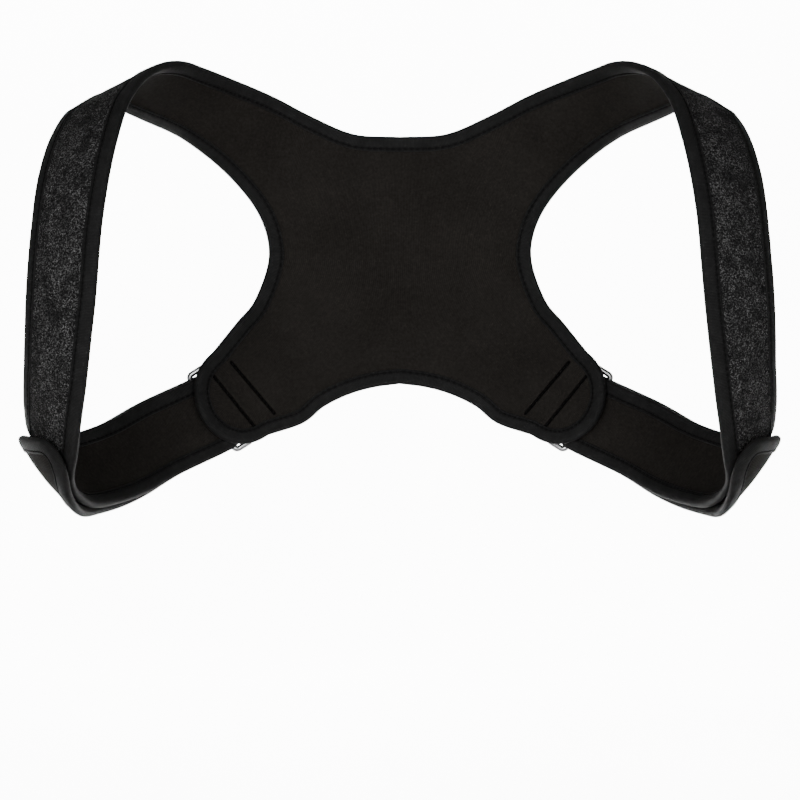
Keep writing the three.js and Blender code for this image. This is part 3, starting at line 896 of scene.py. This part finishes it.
def press_grooves(obj):
    """Refines the inner face along the wings' stitching and presses a groove there."""
    half_width = GROOVE_HALF_WIDTH * MM
    seams = wing_seams()
    seams += [[mirrored(end) for end in seam] for seam in seams]

    def distance(point):
        gaps = []
        for start, end in seams:
            way = end - start
            share = min(max((point - start).dot(way) / way.length_squared, 0), 1)
            gaps.append((point - start - way * share).length)
        return min(gaps)

    mesh = bmesh.new()
    mesh.from_mesh(obj.data)
    near = {
        face for face in mesh.faces
        if face.material_index == INSIDE and distance(face.calc_center_median()) < 3.5 * MM
    }
    edges = [edge for edge in mesh.edges if any(face in near for face in edge.link_faces)]
    bmesh.ops.subdivide_edges(mesh, edges=edges, cuts=3, use_grid_fill=True)
    mesh.normal_update()
    shifts = []
    for vertex in mesh.verts:
        gap = distance(vertex.co)
        if gap < half_width and all(face.material_index == INSIDE for face in vertex.link_faces):
            depth = GROOVE_DEPTH * MM * (1 - smoothstep(gap, 0, half_width))
            shifts.append((vertex, vertex.normal * -depth))
    for vertex, shift in shifts:
        vertex.co += shift
    mesh.to_mesh(obj.data)
    mesh.free()


# Edge tape and its stitches
def resampled(loop, pitch):
    """Points at even distances round a closed loop, and that distance."""
    lengths = [(b - a).length for a, b in pairs(loop)]
    total = sum(lengths)
    count = round(total / pitch)
    points = []
    index, gone = 0, 0.0
    for step in range(count):
        target = total * step / count
        while gone + lengths[index] < target:
            gone += lengths[index]
            index += 1
        share = (target - gone) / lengths[index]
        points.append(mix(loop[index], loop[(index + 1) % len(loop)], share))
    return points, total / count


def smoothed(values, rounds):
    for _ in range(rounds):
        values = [
            (values[i - 1] + values[i] * 2 + values[(i + 1) % len(values)]) / 4
            for i in range(len(values))
        ]
    return values


def band(first, second, sides):
    """Faces between two sections of a tube, given by the numbers of their first points."""
    around = [(j, (j + 1) % sides) for j in range(sides)]
    return [[first + j, first + k, second + k, second + j] for j, k in around]


class Border:
    """Stations round the laminate's edge, each with its place, its normal and the way out."""

    def __init__(self, loop, pitch):
        points, self.pitch = resampled([cloth.points[n] for n in loop], pitch)
        points = smoothed(points, 2)
        self.edges, outs = [], []
        for i, point in enumerate(points):
            tangent = (points[(i + 1) % len(points)] - points[i - 1]).normalized()
            spot, normal = cloth.nearest(point)
            self.edges.append((spot, normal))
            outs.append(tangent.cross(normal).normalized())
        self.outs = [out.normalized() for out in smoothed(outs, 3)]

    def at(self, index, inward):
        """Place on the laminate's middle surface and its normal, some way in from the edge."""
        index %= len(self.edges)
        return cloth.nearest(self.edges[index][0] - self.outs[index] * inward)


def tape_outline(border, index):
    """Section of the folded tape at one station, round the edge and back inside the laminate."""
    distance = index * border.pitch
    pull = TAPE_PULL * noise.noise(Vector((distance / 5, 0, 7)))
    pucker = 1 + 0.16 * math.sin(distance * 2 * math.pi / STITCH_PITCH)
    upper_side, lower_side = [], []
    for inward, rise in TAPE_SECTION:
        spot, normal = border.at(index, inward + (pull if inward > 5 else 0))
        height = HALF_SHEET + rise * (pucker if inward == STITCH_LINE else 1)
        upper_side.append(spot + normal * height)
        lower_side.append(spot - normal * height)
    (spot, normal), out = border.edges[index], border.outs[index]
    fold = [
        spot + out * (0.8 * TAPE_FOLD_RADIUS * math.sin(angle) - 0.6)
        + normal * (TAPE_FOLD_RADIUS * math.cos(angle))
        for angle in evenly(0.12 * math.pi, 0.88 * math.pi, TAPE_FOLD_STEPS)
    ]
    spot, normal = border.at(index, 7.6)
    hidden = [spot + normal * (side * (HALF_SHEET - 0.5)) for side in (-1, 1)]
    return upper_side + fold + lower_side[::-1] + hidden


def edge_tape(name, border):
    """Folded tape round the whole edge, closed along and across."""
    count = len(border.edges)
    outlines = [tape_outline(border, index) for index in range(count)]
    sides = len(outlines[0])
    over = upper_widths + [
        upper_widths[-1] + share * fold_width for share in evenly(0, 1, TAPE_FOLD_STEPS)
    ]
    over += [whole_tape - width for width in reversed(upper_widths)]
    over += [whole_tape + 1, whole_tape + 2, whole_tape + 3]
    faces, coords = [], []
    for i in range(count):
        this, following = i * sides, (i + 1) % count * sides
        u, u_next = i * border.pitch, (i + 1) * border.pitch
        faces += band(this, following, sides)
        coords += [[(u, a), (u, b), (u_next, b), (u_next, a)] for a, b in zip(over, over[1:])]
    points = [point for outline in outlines for point in outline]
    return build_mesh(name, points, faces, [tape], coords=coords)


def add_stitch(points, faces, start, end, normal, radius):
    """One stitch: a short rounded thread that dips into the cloth at both ends."""
    first, sides = len(points), 6
    along = end - start
    side = along.cross(normal).normalized()
    # share of the way, rise and thickness, the last two in radii
    sections = [(0, -0.5, 0.35), (0.16, 0.35, 0.9), (0.5, 0.8, 1), (0.84, 0.35, 0.9), (1, -0.5, 0.35)]
    for share, rise, size in sections:
        middle = start + along * share + normal * (radius * rise)
        for angle in evenly(0, 2 * math.pi, sides)[:-1]:
            offset = side * math.cos(angle) + normal * math.sin(angle)
            points.append(middle + offset * (radius * size))
    last = first + (len(sections) - 1) * sides
    for section in range(first, last, sides):
        faces += band(section, section + sides, sides)
    faces.append([first + k for k in reversed(range(sides))])
    faces.append([last + k for k in range(sides)])


def tape_stitches(name, border):
    points, faces = [], []
    lift = HALF_SHEET + 0.52
    for number in range(int(len(border.edges) * border.pitch / STITCH_PITCH)):
        begin = number * STITCH_PITCH
        (start, start_normal), (end, end_normal) = (
            border.at(round(distance / border.pitch), STITCH_LINE)
            for distance in (begin, begin + STITCH_PITCH - STITCH_GAP)
        )
        if (end - start).length < 0.5:
            continue
        normal = (start_normal + end_normal).normalized()
        for side in (1, -1):
            ends = start + start_normal * side * lift, end + end_normal * side * lift
            add_stitch(points, faces, *ends, normal * side, STITCH_RADIUS)
    return build_mesh(name, points, faces, [thread])


# Ring, webbing and hook patch of one side
def for_side(points, faces, mirror):
    """The mesh as it is, or its mirror image."""
    if not mirror:
        return points, faces
    return [mirrored(point) for point in points], [list(reversed(face)) for face in faces]


def seam_stitches(name, mirror):
    """Stitching that holds the webbing, seen on the wing's inner face and on the webbing."""
    points, faces = [], []
    low = 0.05 - HALF_SHEET
    for start, end in WING_SEAMS:
        for share in evenly(0, 1, 14)[:-1]:
            ends = []
            for at in (share + 0.01, share + 0.055):
                along, across = mix(start[0], end[0], at), mix(start[1], end[1], at)
                spot, normal = cloth.nearest(wing_point(along, across))
                ends.append(spot + normal * low)
            add_stitch(points, faces, *ends, -normal, SEAM_RADIUS)
    top = HALF_SHEET + CLEARANCE + 2 * LOOP_THICKNESS + CLEARANCE
    stops = evenly(-SEAM_HALF_LENGTH, SEAM_HALF_LENGTH, 11)
    for along in WEBBING_SEAMS:
        for start, end in zip(stops, stops[1:]):
            spot = loop_point(along, start, top)
            normal = (loop_point(along, start, top + 1) - spot).normalized()
            add_stitch(points, faces, spot, loop_point(along, end - 0.7, top), normal, SEAM_RADIUS)
    return build_mesh(name, *for_side(points, faces, mirror), [thread])


def sheet_outline(lines, row, thickness):
    """Section of a closed sheet with rounded rims, round one of its lines."""
    rows, cells = len(lines), len(lines[0])

    def at(i, j):
        return lines[min(max(i, 0), rows - 1)][min(max(j, 0), cells - 1)]

    top, bottom = [], []
    for j in range(cells):
        over = at(row, j + 1) - at(row, j - 1)
        normal = (at(row + 1, j) - at(row - 1, j)).cross(over).normalized()
        half = thickness / 2 * (0.62 if j in (0, cells - 1) else 1)
        half *= 0.8 if row in (0, rows - 1) else 1
        top.append(at(row, j) + normal * half)
        bottom.append(at(row, j) - normal * half)
    rims = [
        at(row, edge) + (at(row, edge) - at(row, beside)).normalized() * (0.35 * thickness)
        for edge, beside in ((cells - 1, cells - 2), (0, 1))
    ]
    return top + [rims[0]] + bottom[::-1] + [rims[1]]


def thick_sheet(name, lines, thickness, material, mirror):
    """Closed sheet with rounded rims from a grid of lines across it."""
    rows, cells = len(lines), len(lines[0])
    middle, sides = cells // 2, 2 * cells + 2
    points = [point for row in range(rows) for point in sheet_outline(lines, row, thickness)]
    along = [0]
    for a, b in zip(lines, lines[1:]):
        along.append(along[-1] + (b[middle] - a[middle]).length)
    width = (lines[0][-1] - lines[0][0]).length
    across = evenly(0, width, cells - 1)
    over = across + [width + thickness / 2] + across[::-1] + [-thickness / 2, 0]
    faces, coords = [], []
    for i in range(rows - 1):
        for j in range(sides):
            a, b = i * sides + j, i * sides + (j + 1) % sides
            faces.append([b, b + sides, a + sides, a])
            coords.append([
                (along[i], over[j + 1]), (along[i + 1], over[j + 1]),
                (along[i + 1], over[j]), (along[i], over[j]),
            ])
    for base, is_last in ((0, False), ((rows - 1) * sides, True)):
        caps = [[j, j + 1, 2 * cells - j - 1, 2 * cells - j] for j in range(cells - 1)]
        caps += [[cells - 1, cells, cells + 1], [2 * cells, sides - 1, 0]]
        for cap in caps:
            faces.append([base + k for k in (cap if is_last else reversed(cap))])
            coords.append([(0, 0.001), (0.001, 0.001), (0.001, 0), (0, 0)][-len(cap):])
    points, faces = for_side(points, faces, mirror)
    if mirror:
        coords = [face[::-1] for face in coords]
    return build_mesh(name, points, faces, [material], coords=coords)


def loop_lines():
    """Webbing round the ring's held bar, with both of its ends on the wing."""
    low = HALF_SHEET + CLEARANCE + LOOP_THICKNESS / 2
    high = low + LOOP_THICKNESS + CLEARANCE
    stops = evenly(RING_OVERHANG - LOOP_LENGTH, RING_OVERHANG - LOOP_LANDING, 10)
    positions = evenly(-LOOP_WIDTH / 2, LOOP_WIDTH / 2, 20)

    def on_wing(stop, height):
        return [loop_point(stop, position, height) for position in positions]

    lines = [on_wing(stop, low) for stop in stops]
    for angle in evenly(0, 1.2 * math.pi, 24):
        middle = held_bar + held_axis * (LOOP_RADIUS * math.sin(angle))
        middle -= held_normal * (LOOP_RADIUS * math.cos(angle))
        lines.append([middle + held_across * position for position in positions])
    return lines + [on_wing(stop, high) for stop in reversed(stops)]


def patch_lines():
    """Hook patch between the strap and its returned end, with a slightly ragged outline."""
    start = row_beyond(TIP_ROW, PATCH_MARGIN)
    end = row_beyond(start, PATCH_LENGTH)
    lines = []
    for number, row in enumerate(evenly(start, end, 60)):
        half = PATCH_WIDTH / 2 + 0.35 * noise.noise(Vector((number * 0.9, 0, 3)))
        lines.append([strap_point(row, p, LAYER_PITCH / 2) for p in evenly(-half, half, 16)])
    return lines


def ring(name, mirror):
    """Rounded rectangle of round wire."""
    upright = ring_direction.cross(held_across)
    half_length = STRAP_WIDTH / 2 + TAPE_OUTSIDE + RING_PLAY + RING_BAR / 2
    centre = held_bar + ring_direction * (RING_PITCH / 2)
    corner_steps, sides = 10, 20
    points = []
    for corner, (side_u, side_v) in enumerate([(1, 1), (-1, 1), (-1, -1), (1, -1)]):
        for angle in evenly(corner * math.pi / 2, (corner + 1) * math.pi / 2, corner_steps):
            outward = ring_direction * math.cos(angle) + held_across * math.sin(angle)
            middle = centre + ring_direction * (side_u * (RING_PITCH / 2 - RING_CORNER))
            middle += held_across * (side_v * (half_length - RING_CORNER)) + outward * RING_CORNER
            for turn in evenly(0, 2 * math.pi, sides)[:-1]:
                offset = outward * math.cos(turn) - upright * math.sin(turn)
                points.append(middle + offset * (RING_BAR / 2))
    faces = []
    for this in range(0, len(points), sides):
        faces += band(this, (this + sides) % len(points), sides)
    return build_mesh(name, *for_side(points, faces, mirror), [nickel])


# Pieces
def declare(piece, slot, *nodes):
    """Attaches a piece to the root and hides the solids that it stands for. The slot is not used."""
    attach(piece, "root")
    if nodes:
        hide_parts(*nodes)


laminate_piece = laminate()
press_grooves(laminate_piece)
declare(laminate_piece, "neoprene", "back_panel", "shoulder_strap_right", "shoulder_strap_left")

border = Border(border_loop, BORDER_PITCH)
declare(
    edge_tape("edge_tape_0", border), "tape",
    "neck_binding", "lower_binding", "strap_binding_right", "strap_binding_left",
)
declare(tape_stitches("tape_stitches_0", border), "tape")

for side, mirror in (("right", False), ("left", True)):
    declare(ring(f"wire_ring_{side}", mirror), "metal", f"ring_{side}")
    loop = thick_sheet(f"webbing_{side}", loop_lines(), LOOP_THICKNESS, webbing, mirror)
    declare(loop, "webbing", f"ring_loop_{side}")
    patch = thick_sheet(f"hook_tape_{side}", patch_lines(), PATCH_THICKNESS, hooks, mirror)
    declare(patch, "hook", f"hook_patch_{side}")
    declare(seam_stitches(f"webbing_stitches_{side}", mirror), "webbing")

# Camera: level and straight from the front
FOCAL_PIXELS = 2703
IMAGE_WIDTH = 800
CAMERA_DISTANCE = 1.5
CAMERA_HEIGHT = -0.1765

camera_data = bpy.data.cameras.new("camera")
camera = bpy.data.objects.new("camera", camera_data)
scene.collection.objects.link(camera)
scene.camera = camera
camera_data.sensor_width = 36
camera_data.lens = 36 * FOCAL_PIXELS / IMAGE_WIDTH
camera_data.clip_end = 50
camera.location = (0, -CAMERA_DISTANCE, CAMERA_HEIGHT)
camera.rotation_euler = (math.pi / 2, 0, 0)

# Floor with a curved back, lit through where it is behind the object, and soft light
STAGE_GLOW = 12.0
FLOOR_HEIGHT = -0.5
CURVE_START = 1.6  # from the middle back to where the floor curves up
CURVE_RADIUS = 1.2


def stage_material():
    material, tree, shader = nodes_of("studio_floor")
    where = object_coords(tree)
    faint = noise_texture(tree, where, 3.0)
    colour = ramp(tree, faint, [(0.3, (0.9, 0.9, 0.895)), (0.7, (0.94, 0.94, 0.935))])
    split = add_node(tree, "ShaderNodeSeparateXYZ", {"Vector": where}).outputs
    middle = soft_step(tree, math_node(tree, "ABSOLUTE", split["X"]), 1.5, 0.75)
    back = soft_step(tree, split["Y"], 0.4, 0.68, STAGE_GLOW)
    low = soft_step(tree, split["Z"], 1.4, 0.6)
    glow = math_node(tree, "MULTIPLY", math_node(tree, "MULTIPLY", middle, low), back)
    coat(tree, shader, colour, 0.9)
    tree.links.new(colour, shader.inputs["Emission Color"])
    tree.links.new(glow, shader.inputs["Emission Strength"])
    return material


def stage():
    profile = [(-4, FLOOR_HEIGHT)]
    for angle in evenly(0, math.pi / 2, 16):
        rise = CURVE_RADIUS * (1 - math.cos(angle))
        profile.append((CURVE_START + CURVE_RADIUS * math.sin(angle), FLOOR_HEIGHT + rise))
    profile.append((CURVE_START + CURVE_RADIUS, 5))
    points = [Vector((x, y, z)) / MM for y, z in profile for x in (-6, 6)]
    faces = [[2 * i, 2 * i + 1, 2 * i + 3, 2 * i + 2] for i in range(len(profile) - 1)]
    return build_mesh("studio_floor", points, faces, [stage_material()])


def add_light(name, location, target, size, power):
    data = bpy.data.lights.new(name, "AREA")
    data.shape = "RECTANGLE"
    data.size, data.size_y = size
    data.energy = power
    light = bpy.data.objects.new(name, data)
    light.location = location
    light.rotation_euler = (Vector(target) - Vector(location)).to_track_quat("-Z", "Y").to_euler()
    scene.collection.objects.link(light)


stage()
add_light("key", (-0.8, -2.2, -0.25), (0, 0, -0.15), (1.1, 1.1), 56)
add_light("fill", (0.9, -2.2, -0.3), (0, 0, -0.15), (1.1, 1.1), 40)

world = bpy.data.worlds.new("studio")
world.use_nodes = True
background = world.node_tree.nodes["Background"].inputs
background["Color"].default_value = (1, 1, 1, 1)
background["Strength"].default_value = 0.12
scene.world = world
